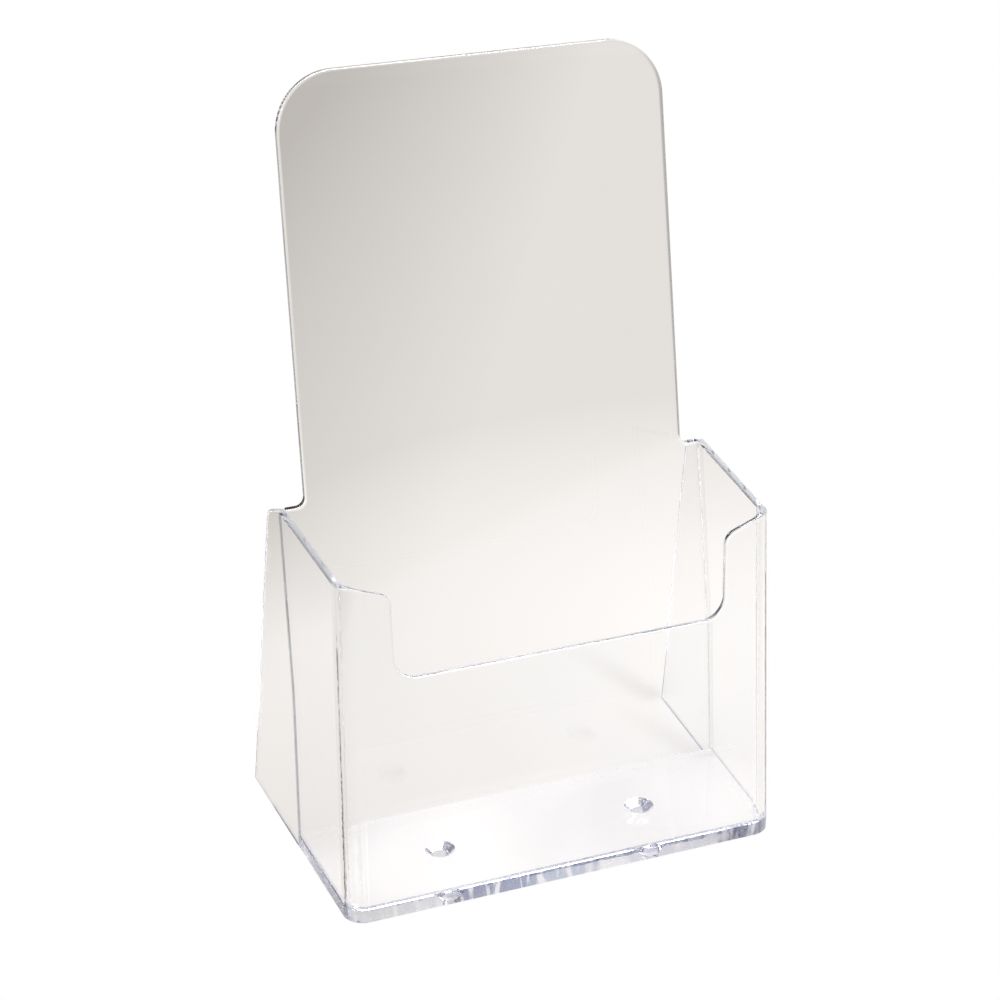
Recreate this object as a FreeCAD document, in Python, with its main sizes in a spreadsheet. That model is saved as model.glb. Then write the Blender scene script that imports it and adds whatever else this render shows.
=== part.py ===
import FreeCAD, Part
import math
import os
import Sketcher

# A one-pocket leaflet rack for a counter, cemented together from five pieces of clear plastic sheet.
#
# +X is to the viewer's right, +Y is towards the back and +Z is up. Every piece is drawn with Y measured
# from the outer face of the front panel, and its Placement then brings the origin to the middle of the
# rack's footprint, on the surface that it stands on.
#
# The base plate is a thick slab with rounded front corners, and it widens towards the back. The front panel
# stands on it, and turns round both corners as far as a butt seam with each side panel. The side panels are
# flat sheets that spread apart towards the back and lean in towards the top. They stand on the slab too, but
# step down behind it to the counter, and run back to form the rear legs. The back panel stands behind the
# slab, between the side panels: upright at first, then leaning back, and narrower above the pocket.

# Driving dimensions in millimetres, and angles in degrees. Widths across the sides are those at the top of
# the slab, in the plane of the front face.
DIMENSIONS = {
    "front_width": 110.0,
    "overall_depth": 75.5,
    "side_flare": 3.0,
    "side_lean": 1.4,
    "wall_thickness": 1.8,
    "corner_radius": 5.2,
    "corner_return": 5.6,
    "rim_radius": 0.6,
    "base_depth": 37.6,
    "base_thickness": 4.1,
    "base_edge_break": 0.35,
    "screw_spacing": 53.0,
    "screw_hole": 4.2,
    "screw_countersink": 7.4,
    "countersink_angle": 90.0,
    "stub_height": 87.8,
    "stub_slope_start": 50.4,
    "stub_slope_drop": 3.7,
    "notch_half_width": 40.8,
    "notch_sill": 62.8,
    "notch_sill_radius": 5.5,
    "notch_top_radius": 4.0,
    "side_peak_depth": 43.2,
    "side_peak_height": 90.0,
    "side_peak_radius": 1.2,
    "side_rear_depth": 52.6,
    "side_rear_height": 86.3,
    "side_rear_radius": 3.5,
    "panel_thickness": 2.5,
    "panel_height": 190.5,
    "panel_bend_height": 43.0,
    "panel_bend_radius": 100.0,
    "panel_lean": 6.0,
    "panel_low_width": 97.0,
    "panel_top_width": 94.0,
    "panel_corner_radius": 14.0,
    "shoulder_height": 89.8,
    "shoulder_radius": 2.2,
}

CLOSE = 0.01
EDGE_SAMPLES = 5
ABOVE_EVERYTHING = 200.0

# The least share of a flat-sided estimate that a cut must remove.
CUT_SHARE = 0.9

FLARE = "dims.side_flare * 1 deg"
LEAN = "dims.side_lean * 1 deg"
LEAN_SLOPE = "tan(dims.panel_lean * 1 deg)"
PANEL_TOP_DEPTH = f"dims.base_depth + (dims.panel_height - dims.panel_bend_height) * {LEAN_SLOPE}"


def make_sheet(doc):
    """The spreadsheet that every sketch and feature reads its sizes from."""
    sheet = doc.addObject("Spreadsheet::Sheet", "dims")
    for row, (name, value) in enumerate(DIMENSIONS.items(), start=1):
        sheet.set(f"A{row}", name)
        sheet.set(f"B{row}", str(value))
        sheet.setAlias(f"B{row}", name)
    doc.recompute()
    return sheet


def new_body(doc, name):
    """A body whose placement puts the middle of the footprint at the origin."""
    body = doc.addObject("PartDesign::Body", name)
    body.Label = name
    body.setExpression("Placement.Base.y", "-dims.overall_depth / 2")
    return body


def outer_half_width(depth, height):
    """Expression for half the distance between the outer faces of the side panels, at the height of the
    slab's top plus height, and at a depth from the front face."""
    return f"dims.front_width / 2 + ({depth}) * tan({FLARE}) - ({height}) * tan({LEAN})"


def inner_half_width(depth, height):
    """The same between their inner faces."""
    return f"{outer_half_width(depth, height)} - dims.wall_thickness / (cos({FLARE}) * cos({LEAN}))"


def new_sketch(body, name, plane, offset=None):
    """An empty sketch on one of the body's own origin planes, moved along that plane's normal by offset."""
    sketch = body.newObject("Sketcher::SketchObject", name)
    origin_plane = [item for item in body.Origin.OriginFeatures if item.Role == plane][0]
    sketch.AttachmentSupport = [(origin_plane, "")]
    sketch.MapMode = "FlatFace"
    if offset:
        sketch.setExpression("AttachmentOffset.Base.z", offset)
    return sketch


def pin_point(sketch, geometry, position, label, pair):
    """Fixes one point of a sketch at a pair of expressions."""
    for kind, letter, expression in (("DistanceX", "x", pair[0]), ("DistanceY", "y", pair[1])):
        value = float(sketch.evalExpression(expression))
        index = sketch.addConstraint(Sketcher.Constraint(kind, -1, 1, geometry, position, value))
        constraint_name = f"{letter}_{label}"
        sketch.renameConstraint(index, constraint_name)
        sketch.setExpression(f"Constraints.{constraint_name}", expression)


def arc_side(start, end, radius):
    """The arc from start to end, which turns left, or right where radius is negative."""
    chord = end - start
    reach = math.sqrt(radius**2 - (chord.Length / 2) ** 2)
    left = FreeCAD.Vector(-chord.y, chord.x, 0).normalize()
    centre = (start + end) * 0.5 + left * math.copysign(reach, radius)
    circle = Part.Circle(centre, FreeCAD.Vector(0, 0, 1), abs(radius))
    first, last = (start, end) if radius > 0 else (end, start)
    return Part.ArcOfCircle(circle, circle.parameter(first), circle.parameter(last))


def draw_outline(sketch, corners, label, arcs=None):
    """A closed outline through corners, each a pair of expressions. arcs gives the turn, 1 for left or -1
    for right, and the radius of each side that is an arc, by the number of the corner it starts from."""
    arcs = arcs or {}
    places = [FreeCAD.Vector(*[float(sketch.evalExpression(text)) for text in pair], 0) for pair in corners]
    first = sketch.GeometryCount
    count = len(corners)
    ends = []
    for i in range(count):
        start, end = places[i], places[(i + 1) % count]
        turn, radius = arcs.get(i, (1, None))
        if radius:
            sketch.addGeometry(arc_side(start, end, turn * float(sketch.evalExpression(radius))))
        else:
            sketch.addGeometry(Part.LineSegment(start, end))
        ends.append((1, 2) if turn > 0 else (2, 1))
    for i in range(count):
        following = (i + 1) % count
        sides = (first + i, ends[i][1], first + following, ends[following][0])
        sketch.addConstraint(Sketcher.Constraint("Coincident", *sides))
    for i in range(count):
        pin_point(sketch, first + i, ends[i][0], f"{label}{i}", corners[i])
    for i, (turn, radius) in arcs.items():
        value = float(sketch.evalExpression(radius))
        index = sketch.addConstraint(Sketcher.Constraint("Radius", first + i, value))
        sketch.renameConstraint(index, f"r_{label}{i}")
        sketch.setExpression(f"Constraints.r_{label}{i}", radius)


def mirrored(corners):
    """The same outline on the other side of the middle."""
    return [(f"-({across})", up) for across, up in corners]


def pad(body, sketch, name, length, both_ways=False):
    """A solid raised from a sketch, along its normal or to both sides of it."""
    feature = body.newObject("PartDesign::Pad", name)
    feature.Profile = sketch
    feature.setExpression("Length", length)
    if both_ways:
        feature.SideType = "Symmetric"
    body.Document.recompute()
    return feature


def pocket_through(body, sketch, name, least_removed):
    """A cut right through the body, which must remove at least least_removed cubic millimetres."""
    before = body.Shape.Volume
    feature = body.newObject("PartDesign::Pocket", name)
    feature.Profile = sketch
    feature.Type = "ThroughAll"
    body.Document.recompute()
    if before - body.Shape.Volume < least_removed:
        raise RuntimeError(f"{body.Label}: {name} cuts too little")
    return feature


def edge_points(edge):
    """Points spread along an edge, its ends among them."""
    span = edge.LastParameter - edge.FirstParameter
    steps = range(EDGE_SAMPLES)
    return [edge.valueAt(edge.FirstParameter + span * step / (EDGE_SAMPLES - 1)) for step in steps]


def dress(body, kind, name, size_name, size, wanted):
    """A fillet or chamfer on every edge of the body whose points all pass the wanted test."""
    tip = body.Tip
    edges = [
        f"Edge{number}"
        for number, edge in enumerate(tip.Shape.Edges, start=1)
        if all(wanted(point) for point in edge_points(edge))
    ]
    if not edges:
        raise RuntimeError(f"{body.Label}: {name} finds no edge")
    feature = body.newObject(f"PartDesign::{kind}", name)
    feature.Base = (tip, edges)
    feature.setExpression(size_name, size)
    body.Document.recompute()
    return feature


def fillet(body, name, radius, wanted):
    """Rounds every edge of the body whose points all pass the wanted test."""
    return dress(body, "Fillet", name, "Radius", radius, wanted)


def near(value, target):
    """True if two lengths are the same within the modelling tolerance."""
    return abs(value - target) < CLOSE


def make_base_plate(doc, sheet):
    """The slab, with a countersunk screw hole on each side of the middle."""
    body = new_body(doc, "base_plate")
    half = sheet.front_width / 2
    flare = math.tan(math.radians(sheet.side_flare))

    outline = new_sketch(body, "base_outline", "XY_Plane")
    right_side = [
        ("dims.front_width / 2", "0"),
        (outer_half_width("dims.base_depth", "0"), "dims.base_depth"),
    ]
    draw_outline(outline, right_side + mirrored(right_side)[::-1], "p")
    pad(body, outline, "base_slab", "dims.base_thickness")

    fillet(body, "base_corners", "dims.corner_radius", lambda p: near(abs(p.x), half) and near(p.y, 0))

    holes = new_sketch(body, "screw_centres", "XY_Plane", "dims.base_thickness")
    for number, side in enumerate((-1, 1)):
        across = f"{side} * dims.screw_spacing / 2"
        centre = FreeCAD.Vector(side * sheet.screw_spacing / 2, sheet.base_depth / 2, 0)
        holes.addGeometry(Part.Circle(centre, FreeCAD.Vector(0, 0, 1), sheet.screw_hole / 2))
        pin_point(holes, number, 3, f"c{number}", (across, "dims.base_depth / 2"))
        index = holes.addConstraint(Sketcher.Constraint("Diameter", number, sheet.screw_hole))
        holes.renameConstraint(index, f"d_{number}")
        holes.setExpression(f"Constraints.d_{number}", "dims.screw_hole")
    doc.recompute()

    before = body.Shape.Volume
    drilled = body.newObject("PartDesign::Hole", "screw_holes")
    drilled.Profile = holes
    doc.recompute()
    drilled.Threaded = False
    drilled.setExpression("Diameter", "dims.screw_hole")
    drilled.DepthType = "ThroughAll"
    drilled.HoleCutType = "Countersink"
    drilled.HoleCutCustomValues = True
    drilled.setExpression("HoleCutDiameter", "dims.screw_countersink")
    drilled.setExpression("HoleCutCountersinkAngle", "dims.countersink_angle")
    doc.recompute()
    bores = 2 * math.pi * (sheet.screw_hole / 2) ** 2 * sheet.base_thickness
    if before - body.Shape.Volume < bores:
        raise RuntimeError("base_plate: the screw holes cut too little")

    def on_outer_rim(point):
        level = near(point.z, 0) or near(point.z, sheet.base_thickness)
        past_bores = abs(point.x) > half - sheet.corner_radius - CLOSE or near(point.y, 0)
        return level and past_bores and not near(point.y, sheet.base_depth)

    def on_side_rim(point):
        level = near(point.z, 0) or near(point.z, sheet.base_thickness)
        return level and near(abs(point.x), half + point.y * flare)

    dress(
        body,
        "Chamfer",
        "base_edge_breaks",
        "Size",
        "dims.base_edge_break",
        lambda p: on_outer_rim(p) or on_side_rim(p),
    )
    return body


def draw_front_plan(sketch, height):
    """The front panel seen from above, at the height of the slab's top plus height: a front wall, two
    rounded corners, and the start of each side."""
    half = outer_half_width("0", height)
    radius = "dims.corner_radius"
    wall = "dims.wall_thickness"
    inner_radius = f"({radius} - {wall})"
    to_tangent = f"(1 - sin({FLARE})) / cos({FLARE})"
    centre_across = f"{half} - {radius} * {to_tangent}"
    end_across = f"{half} + dims.corner_return * tan({FLARE})"
    right_half = [
        (centre_across, "0"),
        (f"{centre_across} + {radius} * cos({FLARE})", f"{radius} - {radius} * sin({FLARE})"),
        (end_across, "dims.corner_return"),
        (f"{end_across} - {wall} * cos({FLARE})", f"dims.corner_return + {wall} * sin({FLARE})"),
        (f"{centre_across} + {inner_radius} * cos({FLARE})", f"{radius} - {inner_radius} * sin({FLARE})"),
        (centre_across, wall),
    ]
    count = len(right_half)
    arcs = {
        0: (1, radius),
        4: (-1, inner_radius),
        count: (-1, inner_radius),
        count + 4: (1, radius),
    }
    draw_outline(sketch, right_half + mirrored(right_half)[::-1], "p", arcs)


def make_front_panel(doc, sheet):
    """The front wall with its turned corners, cut out in the middle for a hand to reach the leaflets."""
    body = new_body(doc, "front_panel")
    wall = sheet.wall_thickness
    rise = "dims.stub_height - dims.base_thickness"

    low_plan = new_sketch(body, "front_plan_low", "XY_Plane", "dims.base_thickness")
    draw_front_plan(low_plan, "0")
    high_plan = new_sketch(body, "front_plan_high", "XY_Plane", "dims.stub_height")
    draw_front_plan(high_plan, rise)
    shell = body.newObject("PartDesign::AdditiveLoft", "front_wall")
    shell.Profile = low_plan
    shell.Sections = [high_plan]
    shell.Ruled = True
    doc.recompute()

    notch = new_sketch(body, "notch_outline", "XZ_Plane")
    slope_end = "dims.stub_height - dims.stub_slope_drop"
    right_side = [
        ("dims.notch_half_width", "dims.notch_sill"),
        ("dims.notch_half_width", slope_end),
        ("dims.stub_slope_start", "dims.stub_height"),
        ("dims.stub_slope_start", str(ABOVE_EVERYTHING)),
    ]
    draw_outline(notch, right_side + mirrored(right_side)[::-1], "p")
    wide = 2 * sheet.notch_half_width * (sheet.stub_height - sheet.stub_slope_drop - sheet.notch_sill)
    pocket_through(body, notch, "notch", CUT_SHARE * wide * wall)

    def at_notch_corner(height):
        return lambda p: near(abs(p.x), sheet.notch_half_width) and near(p.z, height)

    fillet(body, "sill_corners", "dims.notch_sill_radius", at_notch_corner(sheet.notch_sill))
    stub_inner_top = sheet.stub_height - sheet.stub_slope_drop
    fillet(body, "stub_corners", "dims.notch_top_radius", at_notch_corner(stub_inner_top))

    flare = math.radians(sheet.side_flare)
    lean_slope = math.tan(math.radians(sheet.side_lean))
    radius = sheet.corner_radius
    to_tangent = radius * (1 - math.sin(flare)) / math.cos(flare)

    def depth_in_wall(point):
        """How far a point is inside the outer skin of the panel."""
        corner = sheet.front_width / 2 - (point.z - sheet.base_thickness) * lean_slope
        past_centre = abs(point.x) - (corner - to_tangent)
        along_side = (abs(point.x) - corner) * math.sin(flare) + point.y * math.cos(flare)
        if past_centre > 0 and along_side < to_tangent:
            return radius - math.hypot(past_centre, radius - point.y)
        if past_centre > 0:
            return (corner + point.y * math.tan(flare) - abs(point.x)) * math.cos(flare)
        return point.y

    def on_rim(point):
        depth = depth_in_wall(point)
        return point.z > sheet.notch_sill - CLOSE and (near(depth, 0) or near(depth, wall))

    fillet(body, "front_rim", "dims.rim_radius", on_rim)
    return body


def make_side_panel(doc, sheet, name, is_right):
    """One side wall, a flat sheet stepped down behind the slab and running back to a sloping rear edge. It
    is drawn upright and square to the front, and its Placement then spreads it and leans it in."""
    body = doc.addObject("PartDesign::Body", name)
    body.Label = name
    side = 1 if is_right else -1
    place = f"vector({side} * dims.front_width / 2; -dims.overall_depth / 2; 0)"
    turn = f"rotation({-side} * {FLARE}; {-side} * {LEAN}; 0)"
    body.setExpression("Placement", f"placement({place}; {turn})")

    def flat(depth, height):
        """Where a point of the leaning sheet's outer face lies on the sheet while it is flat."""
        raised = f"({height} + dims.wall_thickness * sin({LEAN}))"
        return f"{depth} / cos({FLARE})", f"{raised} / cos({LEAN})"

    outline = new_sketch(body, f"{name}_outline", "YZ_Plane", "-dims.wall_thickness" if is_right else "0")
    corners = [
        flat("dims.corner_return", "dims.base_thickness"),
        flat("dims.base_depth", "dims.base_thickness"),
        flat("dims.base_depth", "0"),
        flat("dims.overall_depth", "0"),
        flat("dims.side_rear_depth", "dims.side_rear_height"),
        flat("dims.side_peak_depth", "dims.side_peak_height"),
        flat("dims.corner_return", "dims.stub_height"),
    ]
    draw_outline(outline, corners, "p")
    pad(body, outline, f"{name}_wall", "dims.wall_thickness")
    places = [[float(outline.evalExpression(text)) for text in pair] for pair in corners]
    foot, rear_top, peak = places[3], places[4], places[5]

    def at_rear_top(point):
        return near(point.y, rear_top[0]) and near(point.z, rear_top[1])

    def at_peak(point):
        return near(point.y, peak[0]) and near(point.z, peak[1])

    fillet(body, f"{name}_rear_corner", "dims.side_rear_radius", at_rear_top)
    fillet(body, f"{name}_peak", "dims.side_peak_radius", at_peak)

    rear_slope = (rear_top[1] - foot[1]) / (foot[0] - rear_top[0])
    lowest_top = sheet.stub_height - sheet.side_rear_radius

    def on_rim(point):
        on_skin = near(point.x, 0) or near(abs(point.x), sheet.wall_thickness)
        on_rear_edge = near((foot[0] - point.y) * rear_slope + foot[1], point.z)
        return on_skin and (point.z > lowest_top or on_rear_edge)

    fillet(body, f"{name}_rim", "dims.rim_radius", on_rim)
    return body


def make_back_panel(doc, sheet):
    """The tall panel that the leaflets lean on."""
    body = new_body(doc, "back_panel")
    thickness = sheet.panel_thickness
    lean = math.radians(sheet.panel_lean)

    profile = new_sketch(body, "panel_profile", "YZ_Plane")
    rear_radius = "(dims.panel_bend_radius - dims.panel_thickness)"
    rear_depth = "dims.base_depth + dims.panel_thickness"
    bend_start = "dims.panel_bend_height - dims.panel_bend_radius * tan(dims.panel_lean * 0.5 deg)"
    lean_cos = "cos(dims.panel_lean * 1 deg)"
    lean_sin = "sin(dims.panel_lean * 1 deg)"
    corners = [
        ("dims.base_depth", "0"),
        (rear_depth, "0"),
        (rear_depth, bend_start),
        (f"{rear_depth} + {rear_radius} * (1 - {lean_cos})", f"{bend_start} + {rear_radius} * {lean_sin}"),
        (
            f"{PANEL_TOP_DEPTH} + dims.panel_thickness * {lean_cos}",
            f"dims.panel_height - dims.panel_thickness * {lean_sin}",
        ),
        (PANEL_TOP_DEPTH, "dims.panel_height"),
        (
            f"dims.base_depth + dims.panel_bend_radius * (1 - {lean_cos})",
            f"{bend_start} + dims.panel_bend_radius * {lean_sin}",
        ),
        ("dims.base_depth", bend_start),
    ]
    draw_outline(profile, corners, "p", arcs={2: (-1, rear_radius), 6: (1, "dims.panel_bend_radius")})
    widest = f"2 * ({inner_half_width('dims.base_depth', '-dims.base_thickness')})"
    pad(body, profile, "panel_sheet", widest, both_ways=True)

    def front_face_depth(height):
        return sheet.base_depth + max(height - sheet.panel_bend_height, 0) * math.tan(lean)

    trim = new_sketch(body, "panel_trim", "XZ_Plane")
    shoulder_depth = f"dims.base_depth + (dims.shoulder_height - dims.panel_bend_height) * {LEAN_SLOPE}"
    at_bend = inner_half_width("dims.base_depth", "dims.panel_bend_height - dims.base_thickness")
    at_shoulder_end = inner_half_width(shoulder_depth, "dims.shoulder_height - dims.base_thickness")
    right_trim = [
        ("dims.panel_low_width / 2", "dims.shoulder_height"),
        (at_shoulder_end, "dims.shoulder_height"),
        (at_bend, "dims.panel_bend_height"),
        (inner_half_width("dims.base_depth", "-dims.base_thickness"), "0"),
        ("dims.front_width", "0"),
        ("dims.front_width", str(ABOVE_EVERYTHING)),
        ("dims.panel_top_width / 2", str(ABOVE_EVERYTHING)),
        ("dims.panel_top_width / 2", "dims.panel_height"),
    ]
    draw_outline(trim, right_trim, "r")
    draw_outline(trim, mirrored(right_trim), "l")
    shoulder_end = float(trim.evalExpression(at_shoulder_end))
    strip = shoulder_end - sheet.panel_low_width / 2
    cut_area = 2 * strip * (sheet.panel_height - sheet.shoulder_height)
    pocket_through(body, trim, "panel_sides", CUT_SHARE * cut_area * thickness)

    def at_shoulder(point):
        return near(abs(point.x), sheet.panel_low_width / 2) and near(point.z, sheet.shoulder_height)

    def at_top_corner(point):
        across = near(abs(point.x), sheet.panel_top_width / 2)
        return across and point.z > sheet.panel_height - thickness

    fillet(body, "shoulders", "dims.shoulder_radius", at_shoulder)
    fillet(body, "top_corners", "dims.panel_corner_radius", at_top_corner)

    def on_rim(point):
        depth = point.y - front_face_depth(point.z)
        on_face = near(depth, 0) or near(depth, thickness / math.cos(lean))
        return on_face and point.z > sheet.shoulder_height - CLOSE

    fillet(body, "panel_rim", "dims.rim_radius", on_rim)
    return body


def check_document(doc, bodies):
    """Stops if any object of the document failed, or if a piece isn't one sound solid."""
    for item in doc.Objects:
        if "Invalid" in item.State or "Error" in item.State:
            raise RuntimeError(f"{item.Label} failed: {item.State}")
    for body in bodies:
        shape = body.Shape
        if shape.isNull() or not shape.isValid() or len(shape.Solids) != 1:
            raise RuntimeError(f"{body.Label} isn't one valid solid")


def main():
    doc = FreeCAD.newDocument("leaflet_rack")
    sheet = make_sheet(doc)
    bodies = [
        make_base_plate(doc, sheet),
        make_front_panel(doc, sheet),
        make_side_panel(doc, sheet, "left_side_panel", is_right=False),
        make_side_panel(doc, sheet, "right_side_panel", is_right=True),
        make_back_panel(doc, sheet),
    ]
    doc.recompute()
    check_document(doc, bodies)

    os.makedirs("parts", exist_ok=True)
    for body in bodies:
        body.Shape.exportStep(f"parts/{body.Label}.step")
        box = body.Shape.optimalBoundingBox(False)
        low = f"({box.XMin:.2f}, {box.YMin:.2f}, {box.ZMin:.2f})"
        high = f"({box.XMax:.2f}, {box.YMax:.2f}, {box.ZMax:.2f})"
        print(f"{body.Label}: {body.Shape.Volume:.0f} mm3, {low} to {high}")


main()
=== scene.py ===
import math

import bpy
from mathutils import Matrix, Vector
from mathutils.bvhtree import BVHTree


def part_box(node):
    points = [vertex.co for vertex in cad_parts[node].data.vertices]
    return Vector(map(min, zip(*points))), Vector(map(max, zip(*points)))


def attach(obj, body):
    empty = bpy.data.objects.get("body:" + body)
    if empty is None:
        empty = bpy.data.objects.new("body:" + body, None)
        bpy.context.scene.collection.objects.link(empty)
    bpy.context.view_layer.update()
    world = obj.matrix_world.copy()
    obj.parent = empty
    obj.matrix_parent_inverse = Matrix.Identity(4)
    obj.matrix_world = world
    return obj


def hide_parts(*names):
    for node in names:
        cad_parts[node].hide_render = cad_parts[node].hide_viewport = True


# The looks of a clear one-pocket leaflet rack. Lengths are in metres, in the CAD frame: +X to the viewer's
# right, +Y to the back, +Z up, with the origin on the counter under the middle of the footprint.

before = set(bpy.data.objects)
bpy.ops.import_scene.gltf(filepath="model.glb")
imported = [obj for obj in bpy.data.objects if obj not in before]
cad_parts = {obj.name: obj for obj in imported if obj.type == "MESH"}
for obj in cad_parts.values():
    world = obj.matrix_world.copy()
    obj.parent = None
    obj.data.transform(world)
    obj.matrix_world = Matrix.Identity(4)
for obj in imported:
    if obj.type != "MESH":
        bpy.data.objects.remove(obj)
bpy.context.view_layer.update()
MM = 0.001

NODES = ("base_plate", "front_panel", "left_side_panel", "right_side_panel", "back_panel")

# Lowest and highest corners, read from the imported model.
SLAB_LOW, SLAB_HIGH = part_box("base_plate")
FOOT_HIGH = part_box("right_side_panel")[1]
PANEL_LOW, PANEL_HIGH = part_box("back_panel")

# Cemented joints. Each cemented face is pulled in by FILM, which leaves a film of air in the joint: faces
# that touch would show as black areas. Two faces are cemented if they lie within JOINT_REACH of each other
# and face opposite ways. OPPOSED and SAME_WAY are cosines of the angle between two normals.
FILM = 0.008 * MM
JOINT_REACH = 0.06 * MM
OPPOSED = -0.99
SAME_WAY = 0.99

# The slab's faces, told apart by where they are and by how upright their normals are.
HOLE_MARGIN = 8 * MM
HOLE_WALL_UPRIGHT = 0.9
EDGE_UPRIGHT = 0.8

# The clear plastic. A wave is a noise scale and a height.
INDEX = 1.49
TINT = (0.40, 0.47, 0.62)
TINT_DENSITY = 4.5
SHEET_WAVE = (60.0, 0.02 * MM)
EDGE_WAVE = (140.0, 0.30 * MM)
CEMENT_WAVE = (900.0, 0.05 * MM)
EDGE_STRETCH = (1.0, 1.0, 0.2)
HAZE_SCALE = 35.0
HAZE_CLEAR = (1.0, 1.0, 1.0)
HAZE_BLUE = (0.975, 0.985, 1.0)
DRILLED_ROUGHNESS = 0.12
# Painted shade: the drilled hole walls are painted a darker grey-violet.
DRILLED_PAINTED_SHADE = (0.70, 0.68, 0.75)

# Hairline scratches: two sets of long grain, each a turn in radians and a scale along each axis.
SCRATCH_SETS = (
    ((0.0, 0.1, 0.0), (3200.0, 70.0, 45.0)),
    ((0.0, 1.1, 0.3), (2600.0, 60.0, 60.0)),
)
SCRATCH_START = 0.68
SCRATCH_FULL = 0.76
SCRATCH_ROUGHNESS = 0.09

# Specks of dust
SPECK_SCALE = 70.0
SPECK_SIZE = 0.022
SPECK_HEIGHT = 0.03 * MM
SPECK_ROUGHNESS = 0.4

# The slab's thick edge: painted reflections of the surroundings, as tones from the left end, 0, to the right
# end, 1, how far they wander along it, and painted glints, the bright ripples that break them up.
EDGE_PAINTED_REFLECTIONS = (
    (0.00, (0.84, 0.84, 0.86)),
    (0.06, (0.62, 0.62, 0.65)),
    (0.22, (0.72, 0.72, 0.76)),
    (0.27, (0.14, 0.15, 0.27)),
    (0.40, (0.18, 0.21, 0.36)),
    (0.43, (0.34, 0.39, 0.53)),
    (0.56, (0.40, 0.45, 0.58)),
    (0.60, (0.95, 0.93, 0.95)),
    (0.66, (0.60, 0.60, 0.72)),
    (0.84, (0.62, 0.62, 0.68)),
    (0.90, (0.10, 0.10, 0.16)),
    (1.00, (0.30, 0.30, 0.36)),
)
WANDER = 14 * MM
WANDER_SCALE = 300.0
RIPPLE_TURN = (0.0, 0.5, 0.0)
RIPPLE_SCALE = 330.0
PAINTED_GLINT_START = 0.52
PAINTED_GLINT_FULL = 0.72
PAINTED_GLINT_TONE = (0.93, 0.93, 0.96)

# A Mix node has sockets for each kind of data. These are the ones for colours.
MIX_FIRST = 6
MIX_SECOND = 7
MIX_RESULT = 2


class Tree:
    """A material's or world's nodes, with short ways to add the ones used here."""

    def __init__(self, owner):
        self.nodes = owner.node_tree.nodes
        self.links = owner.node_tree.links

    def set(self, socket, value):
        """Link an output to a socket, or give the socket a value."""
        if isinstance(value, bpy.types.NodeSocket):
            self.links.new(value, socket)
        elif isinstance(value, tuple) and socket.type == "RGBA":
            socket.default_value = (*value, 1.0)
        else:
            socket.default_value = value

    def add(self, kind, inputs=None, **settings):
        node = self.nodes.new(kind)
        for name, value in settings.items():
            setattr(node, name, value)
        for name, value in (inputs or {}).items():
            self.set(node.inputs[name], value)
        return node

    def math(self, operation, *values):
        inputs = dict(enumerate(values))
        return self.add("ShaderNodeMath", inputs, operation=operation).outputs[0]

    def vector_math(self, operation, first, second, result="Value"):
        inputs = {0: first, 1: second}
        return self.add("ShaderNodeVectorMath", inputs, operation=operation).outputs[result]

    def span(self, value, start, end, low=0.0, high=1.0, smooth=False):
        """Low at start, high at end, and held outside them."""
        inputs = {"Value": value, "From Min": start, "From Max": end, "To Min": low, "To Max": high}
        kind = "SMOOTHSTEP" if smooth else "LINEAR"
        return self.add("ShaderNodeMapRange", inputs, interpolation_type=kind).outputs["Result"]

    def blend(self, factor, first, second):
        """The first colour where the factor is 0, the second where it is 1."""
        inputs = {"Factor": factor, MIX_FIRST: first, MIX_SECOND: second}
        return self.add("ShaderNodeMix", inputs, data_type="RGBA").outputs[MIX_RESULT]

    def noise(self, place, scale, detail=1.0, distortion=0.0):
        inputs = {"Vector": place, "Scale": scale, "Detail": detail, "Distortion": distortion}
        return self.add("ShaderNodeTexNoise", inputs).outputs["Fac"]

    def mapped(self, place, scale, turn=(0.0, 0.0, 0.0)):
        inputs = {"Vector": place, "Rotation": turn, "Scale": scale}
        return self.add("ShaderNodeMapping", inputs).outputs["Vector"]

    def ramp(self, factor, stops):
        node = self.add("ShaderNodeValToRGB", {"Fac": factor})
        elements = node.color_ramp.elements
        while len(elements) < len(stops):
            elements.new(0.5)
        for element, (position, colour) in zip(elements, stops):
            element.position = position
            element.color = (*colour, 1.0)
        return node.outputs["Color"]


def new_material(name):
    """An empty node material, with its tree and output node."""
    material = bpy.data.materials.new(name)
    material.use_nodes = True
    material.node_tree.nodes.clear()
    tree = Tree(material)
    return material, tree, tree.add("ShaderNodeOutputMaterial")


def painted_edge_reflections(tree, place):
    """Painted reflections on the slab's thick edge, greys and blues along it, broken by painted glints."""
    along = tree.add("ShaderNodeSeparateXYZ", {"Vector": place}).outputs["X"]
    swing = tree.math("SUBTRACT", tree.noise(place, WANDER_SCALE, detail=3.0, distortion=1.0), 0.5)
    wandered = tree.math("ADD", along, tree.math("MULTIPLY", swing, WANDER))
    painted_tones = tree.ramp(tree.span(wandered, -SLAB_HIGH.x, SLAB_HIGH.x), EDGE_PAINTED_REFLECTIONS)
    ripples = tree.noise(tree.mapped(place, EDGE_STRETCH, RIPPLE_TURN), RIPPLE_SCALE, distortion=1.6)
    painted_glints = tree.span(ripples, PAINTED_GLINT_START, PAINTED_GLINT_FULL, smooth=True)
    return tree.blend(painted_glints, painted_tones, PAINTED_GLINT_TONE)


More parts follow.
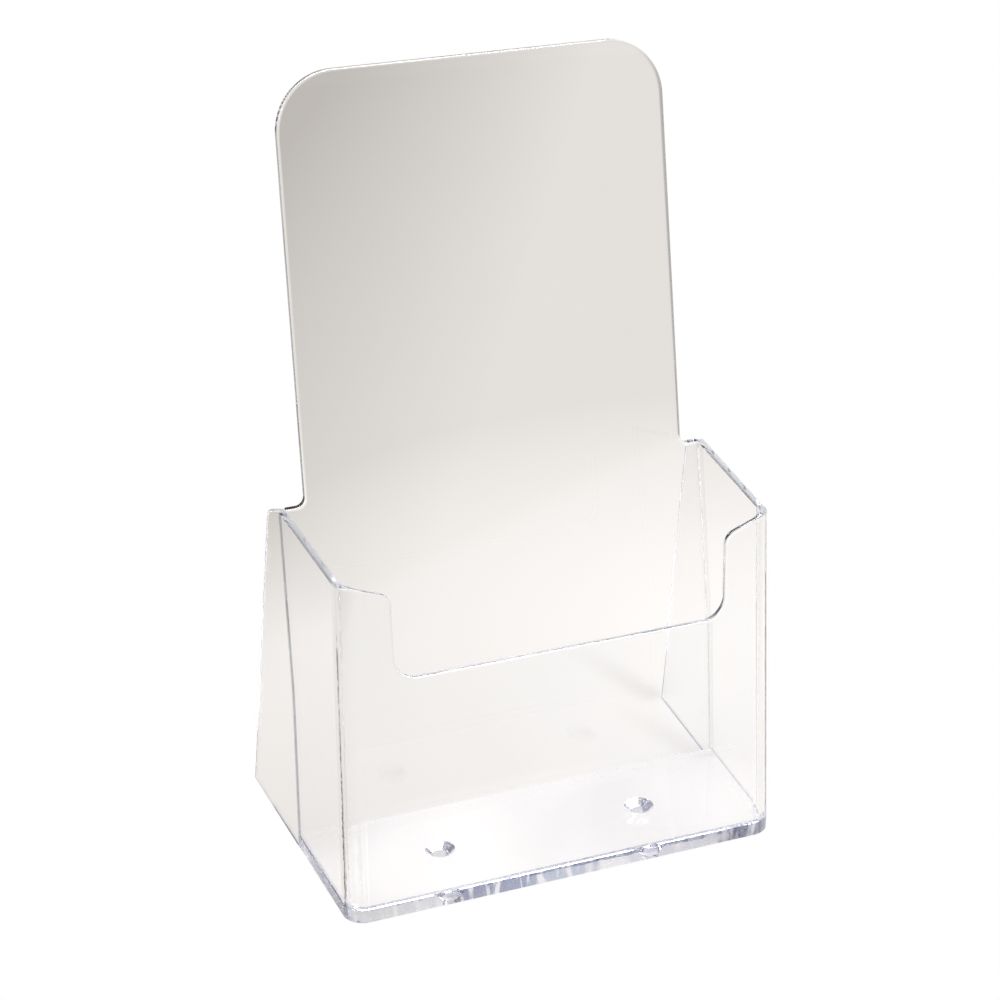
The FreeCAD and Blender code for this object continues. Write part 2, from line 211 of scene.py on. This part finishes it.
def clear_plastic():
    """Clear acrylic: faintly blue in depth, a little uneven, with hairline scratches and dust on its faces,
    wavier on the slab's edges, which carry painted reflections and painted glints, matt and painted a darker
    shade in the drilled holes, and rippled where it is cemented."""
    material, tree, output = new_material("clear_plastic_sheet")
    place = tree.add("ShaderNodeTexCoord").outputs["Object"]
    marks = {
        name: tree.add("ShaderNodeAttribute", attribute_name=name).outputs["Fac"]
        for name in ("sawn_painted_reflections", "drilled", "cemented")
    }

    scratches = 0.0
    for turn, scale in SCRATCH_SETS:
        grain = tree.noise(tree.mapped(place, scale, turn), 1.0, detail=2.0)
        scratches = tree.math("ADD", scratches, tree.span(grain, SCRATCH_START, SCRATCH_FULL))
    cell = tree.add("ShaderNodeTexVoronoi", {"Vector": place, "Scale": SPECK_SCALE}).outputs["Distance"]
    specks = tree.span(cell, SPECK_SIZE, 0.0)
    rough = tree.math("MULTIPLY", scratches, SCRATCH_ROUGHNESS)
    rough = tree.math("ADD", rough, tree.math("MULTIPLY", specks, SPECK_ROUGHNESS))
    rough = tree.math("ADD", rough, tree.math("MULTIPLY", marks["drilled"], DRILLED_ROUGHNESS))

    height = tree.math("MULTIPLY", specks, SPECK_HEIGHT)
    sheet_scale, sheet_depth = SHEET_WAVE
    height = tree.math("ADD", height, tree.math("MULTIPLY", tree.noise(place, sheet_scale), sheet_depth))
    stretched = tree.mapped(place, EDGE_STRETCH)
    for mark, there, (scale, depth) in (("sawn_painted_reflections", stretched, EDGE_WAVE), ("cemented", place, CEMENT_WAVE)):
        waves = tree.math("MULTIPLY", tree.noise(there, scale, detail=2.0, distortion=0.8), depth)
        height = tree.math("ADD", height, tree.math("MULTIPLY", waves, marks[mark]))
    bump = tree.add("ShaderNodeBump", {"Strength": 1.0, "Distance": 1.0, "Height": height})

    colour = tree.blend(tree.noise(place, HAZE_SCALE, detail=3.0), HAZE_CLEAR, HAZE_BLUE)
    # Painted shade on the walls of the drilled holes.
    colour = tree.blend(marks["drilled"], colour, DRILLED_PAINTED_SHADE)
    # The slab's sawn edges get their painted reflections and painted glints.
    colour = tree.blend(marks["sawn_painted_reflections"], colour, painted_edge_reflections(tree, place))
    shader = tree.add(
        "ShaderNodeBsdfPrincipled",
        {
            "Base Color": colour,
            "Transmission Weight": 1.0,
            "IOR": INDEX,
            "Roughness": rough,
            "Normal": bump.outputs["Normal"],
        },
    )
    absorption = tree.add("ShaderNodeVolumeAbsorption", {"Color": TINT, "Density": TINT_DENSITY})
    tree.links.new(shader.outputs["BSDF"], output.inputs["Surface"])
    tree.links.new(absorption.outputs["Volume"], output.inputs["Volume"])
    return material


def node_surface(name):
    """A CAD node's mesh, as a tree that finds its nearest point."""
    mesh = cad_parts[name].data
    corners = [vertex.co.copy() for vertex in mesh.vertices]
    return BVHTree.FromPolygons(corners, [face.vertices[:] for face in mesh.polygons])


PLASTIC = clear_plastic()
SURFACES = {name: node_surface(name) for name in NODES}


def is_cemented(name, face):
    """True if a face of a node lies flat on another node."""
    for other, surface in SURFACES.items():
        if other == name:
            continue
        point, normal, _, _ = surface.find_nearest(face.center, JOINT_REACH)
        if point is not None and normal.dot(face.normal) < OPPOSED:
            return True
    return False


def is_drilled(face):
    """True on the walls of the slab's screw holes, which lie well inside its outline."""
    inside = SLAB_LOW.y + HOLE_MARGIN < face.center.y < SLAB_HIGH.y - HOLE_MARGIN
    near_hole = abs(face.center.x) < SLAB_HIGH.x / 2 + HOLE_MARGIN
    return inside and near_hole and abs(face.normal.z) < HOLE_WALL_UPRIGHT


def mark_faces(mesh, is_slab, cemented):
    """Mark a piece's cemented, drilled and sawn faces for its material, which paints shade and reflections.
    """
    drilled = [is_slab and is_drilled(face) for face in mesh.polygons]
    edges = [is_slab and abs(face.normal.z) < EDGE_UPRIGHT for face in mesh.polygons]
    sawn_painted_reflections = [edge and not (hole or joint) for edge, hole, joint in zip(edges, drilled, cemented)]
    for mark, values in (("cemented", cemented), ("drilled", drilled), ("sawn_painted_reflections", sawn_painted_reflections)):
        layer = mesh.attributes.new(mark, "FLOAT", "FACE")
        layer.data.foreach_set("value", [float(value) for value in values])


def open_joints(mesh, cemented):
    """Pull each cemented face in by the film. A corner of several such faces moves along each of them."""
    pulls = {}
    for face, is_joint in zip(mesh.polygons, cemented):
        if not is_joint:
            continue
        for index in face.vertices:
            known = pulls.setdefault(index, [])
            if all(face.normal.dot(other) < SAME_WAY for other in known):
                known.append(face.normal.copy())
    for index, normals in pulls.items():
        for normal in normals:
            mesh.vertices[index].co -= normal * FILM


def sheet_piece(name):
    """A copy of a CAD node in clear plastic, with its joints opened by the film."""
    piece = bpy.data.objects.new(name + "_sheet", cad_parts[name].data.copy())
    bpy.context.scene.collection.objects.link(piece)
    mesh = piece.data
    cemented = [is_cemented(name, face) for face in mesh.polygons]
    mark_faces(mesh, name == "base_plate", cemented)
    open_joints(mesh, cemented)
    mesh.materials.clear()
    mesh.materials.append(PLASTIC)
    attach(piece, "root")
    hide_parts(name)


for name in NODES:
    sheet_piece(name)


# The floor. Where the camera sees it directly it is plain white. Seen through the plastic, or reflected by
# it, it carries painted light and shade: a middle grey that fades to a darker painted shade far to the left,
# with the rest laid over them.
FLOOR_DROP = 0.05 * MM
FLOOR_SIZE = 12.0
PLAIN_WHITE = (1.0, 1.0, 1.0)
MIDDLE_TONE = (0.785, 0.753, 0.718)
FAR_TONE = (0.500, 0.470, 0.435)
FADE_DIRECTION = (-0.896, 0.444, 0.0)
FADE_START = 40 * MM
FADE_END = 190 * MM

# Two pools of light, to the left and to the right of the rack: centre, radius and tone.
POOLS = (
    ((-120 * MM, 100 * MM, 0.0), 115 * MM, (1.02, 0.985, 0.96)),
    ((113 * MM, 61 * MM, 0.0), 193 * MM, (1.12, 1.085, 1.05)),
)

# A painted patch of light under the slab, two and a half times as long as it is deep.
UNDER_TONE = (1.13, 1.085, 1.055)
UNDER_SHAPE = (0.4, 1.0, 1.0)
UNDER_CENTRE = (0.0, (SLAB_LOW.y + SLAB_HIGH.y) / 2, 0.0)
UNDER_START = 16 * MM
UNDER_END = 36 * MM

# The nearer floor leans towards a painted light tone, up to a soft line behind the rack.
NEAR_TONE = (1.00, 0.965, 0.935)
NEAR_SHARE = 0.22
NEAR_DIRECTION = (-0.481, 0.877, 0.0)
NEAR_START = 108 * MM
NEAR_END = 124 * MM

# Painted soft shadows, that run back from the right foot and from the right end of the back panel.
SHADOW_TONE = (0.60, 0.57, 0.56)
SHADOW_DARKNESS = 0.34
SHADOW_WAY = Vector((-0.26, 0.966, 0.0)).normalized()
SHADOW_WIDTH = 7 * MM
SHADOW_LENGTH = 42 * MM
SHADOW_SOFT_START = 2 * MM
FOOT_INSET = 3 * MM
SHADOWS = ((FOOT_HIGH.x - FOOT_INSET, FOOT_HIGH.y), (PANEL_HIGH.x, PANEL_LOW.y))


def shadow_streak(tree, place, start):
    """How strong a soft shadow is, that starts at a place on the floor and fades as it runs away from it."""
    offset = tree.vector_math("SUBTRACT", place, (*start, 0.0), result="Vector")
    along = tree.vector_math("DOT_PRODUCT", offset, tuple(SHADOW_WAY))
    across = tree.vector_math("DOT_PRODUCT", offset, (SHADOW_WAY.y, -SHADOW_WAY.x, 0.0))
    narrow = tree.span(tree.math("ABSOLUTE", across), 0.0, SHADOW_WIDTH, 1.0, 0.0, smooth=True)
    begun = tree.span(along, -SHADOW_SOFT_START, SHADOW_SOFT_START)
    fading = tree.span(along, 0.0, SHADOW_LENGTH, SHADOW_DARKNESS, 0.0)
    return tree.math("MULTIPLY", narrow, tree.math("MULTIPLY", begun, fading))


def floor_material():
    material, tree, output = new_material("studio_floor")
    place = tree.add("ShaderNodeNewGeometry").outputs["Position"]
    along = tree.vector_math("DOT_PRODUCT", place, FADE_DIRECTION)
    tone = tree.blend(tree.span(along, FADE_START, FADE_END), MIDDLE_TONE, FAR_TONE)
    for centre, radius, bright in POOLS:
        away = tree.vector_math("DISTANCE", place, centre)
        tone = tree.blend(tree.span(away, 0.0, radius), bright, tone)
    away = tree.vector_math("DISTANCE", tree.mapped(place, UNDER_SHAPE), UNDER_CENTRE)
    tone = tree.blend(tree.span(away, UNDER_START, UNDER_END, smooth=True), UNDER_TONE, tone)
    back = tree.vector_math("DOT_PRODUCT", place, NEAR_DIRECTION)
    nearer = tree.span(back, NEAR_START, NEAR_END, NEAR_SHARE, 0.0, smooth=True)
    tone = tree.blend(nearer, tone, NEAR_TONE)
    for start in SHADOWS:
        tone = tree.blend(shadow_streak(tree, place, start), tone, SHADOW_TONE)

    shaded = tree.add("ShaderNodeEmission", {"Color": tone}).outputs["Emission"]
    plain = tree.add("ShaderNodeEmission", {"Color": PLAIN_WHITE}).outputs["Emission"]
    seen_directly = tree.add("ShaderNodeLightPath").outputs["Is Camera Ray"]
    mix = tree.add("ShaderNodeMixShader", {0: seen_directly, 1: shaded, 2: plain})
    tree.links.new(mix.outputs["Shader"], output.inputs["Surface"])
    return material


def make_floor():
    mesh = bpy.data.meshes.new("floor")
    half = FLOOR_SIZE / 2
    corners = [(-half, -half), (half, -half), (half, half), (-half, half)]
    mesh.from_pydata([(x, y, -FLOOR_DROP) for x, y in corners], [], [(0, 1, 2, 3)])
    floor = bpy.data.objects.new("floor", mesh)
    bpy.context.scene.collection.objects.link(floor)
    mesh.materials.append(floor_material())


# The studio round the rack: plain white at the horizon and overhead, with soft dark and light shapes between
# them, which the thick edges pick up. Heights are the Z of a direction, from 0 at the horizon to 1 overhead.
SHAPES = (
    (0.36, (0.13, 0.14, 0.24)),
    (0.43, (0.52, 0.54, 0.64)),
    (0.52, (0.86, 0.85, 0.88)),
    (0.66, (1.20, 1.16, 1.15)),
)
SHAPES_SCALE = 16.0
SHAPES_STRETCH = (1.0, 1.0, 0.4)
SHAPES_START = 0.22
SHAPES_FULL = 0.32
SHAPES_END = 0.66
OVERHEAD_START = 0.85


def make_world():
    world = bpy.data.worlds.new("studio")
    bpy.context.scene.world = world
    world.use_nodes = True
    tree = Tree(world)
    background = tree.nodes["Background"]
    way = tree.add("ShaderNodeTexCoord").outputs["Generated"]
    up = tree.add("ShaderNodeSeparateXYZ", {"Vector": way}).outputs["Z"]
    shapes = tree.ramp(tree.noise(tree.mapped(way, SHAPES_STRETCH), SHAPES_SCALE), SHAPES)
    sides = tree.blend(tree.span(up, SHAPES_START, SHAPES_FULL), PLAIN_WHITE, shapes)
    raised = tree.span(up, SHAPES_END, OVERHEAD_START)
    tree.set(background.inputs["Color"], tree.blend(raised, sides, PLAIN_WHITE))


# Soft lights: name, place, width and height, and power in watts.
LIGHTS = (
    ("overhead_softbox", (0.1, 0.25, 1.2), (0.9, 0.6), 28.0),
    ("left_softbox", (-1.1, -0.3, 0.7), (0.5, 0.8), 9.0),
    ("high_rear_softbox", (-0.35, 0.75, 1.15), (0.7, 0.4), 9.0),
)
LIGHT_AIM = Vector((0.0, 0.0, 0.08))


def soft_light(name, place, size, power):
    """A rectangular soft light, turned to face the rack."""
    data = bpy.data.lights.new(name, "AREA")
    data.shape = "RECTANGLE"
    data.size, data.size_y = size
    data.energy = power
    lamp = bpy.data.objects.new(name, data)
    bpy.context.scene.collection.objects.link(lamp)
    lamp.location = place
    lamp.rotation_euler = (LIGHT_AIM - Vector(place)).to_track_quat("-Z", "Y").to_euler()


# The camera. Azimuth is measured from straight in front, and lens and sensor are in millimetres.
CAMERA_AZIMUTH = math.radians(19.42)
CAMERA_ELEVATION = math.radians(23.98)
CAMERA_ROLL = math.radians(-1.56)
CAMERA_DISTANCE = 525.3 * MM
CAMERA_TARGET = Vector((-6.0 * MM, -12.75 * MM, 91.4 * MM))
CAMERA_LENS = 80.46
CAMERA_SENSOR = 36.0


def make_camera():
    back = Vector((
        -math.sin(CAMERA_AZIMUTH) * math.cos(CAMERA_ELEVATION),
        -math.cos(CAMERA_AZIMUTH) * math.cos(CAMERA_ELEVATION),
        math.sin(CAMERA_ELEVATION),
    ))
    data = bpy.data.cameras.new("camera")
    data.sensor_width = CAMERA_SENSOR
    data.lens = CAMERA_LENS
    camera = bpy.data.objects.new("camera", data)
    bpy.context.scene.collection.objects.link(camera)
    place = Matrix.Translation(CAMERA_TARGET + back * CAMERA_DISTANCE)
    turn = back.to_track_quat("Z", "Y").to_matrix().to_4x4()
    camera.matrix_world = place @ turn @ Matrix.Rotation(CAMERA_ROLL, 4, "Z")
    bpy.context.scene.camera = camera


make_floor()
make_world()
for light in LIGHTS:
    soft_light(*light)
make_camera()
bpy.context.scene.view_settings.view_transform = "Standard"

# Light that is trapped in the clear sheet bounces many times before it leaves.
PATH_LENGTH = 48
light_paths = bpy.context.scene.cycles
light_paths.max_bounces = PATH_LENGTH
light_paths.transmission_bounces = PATH_LENGTH
light_paths.glossy_bounces = PATH_LENGTH
light_paths.transparent_max_bounces = PATH_LENGTH
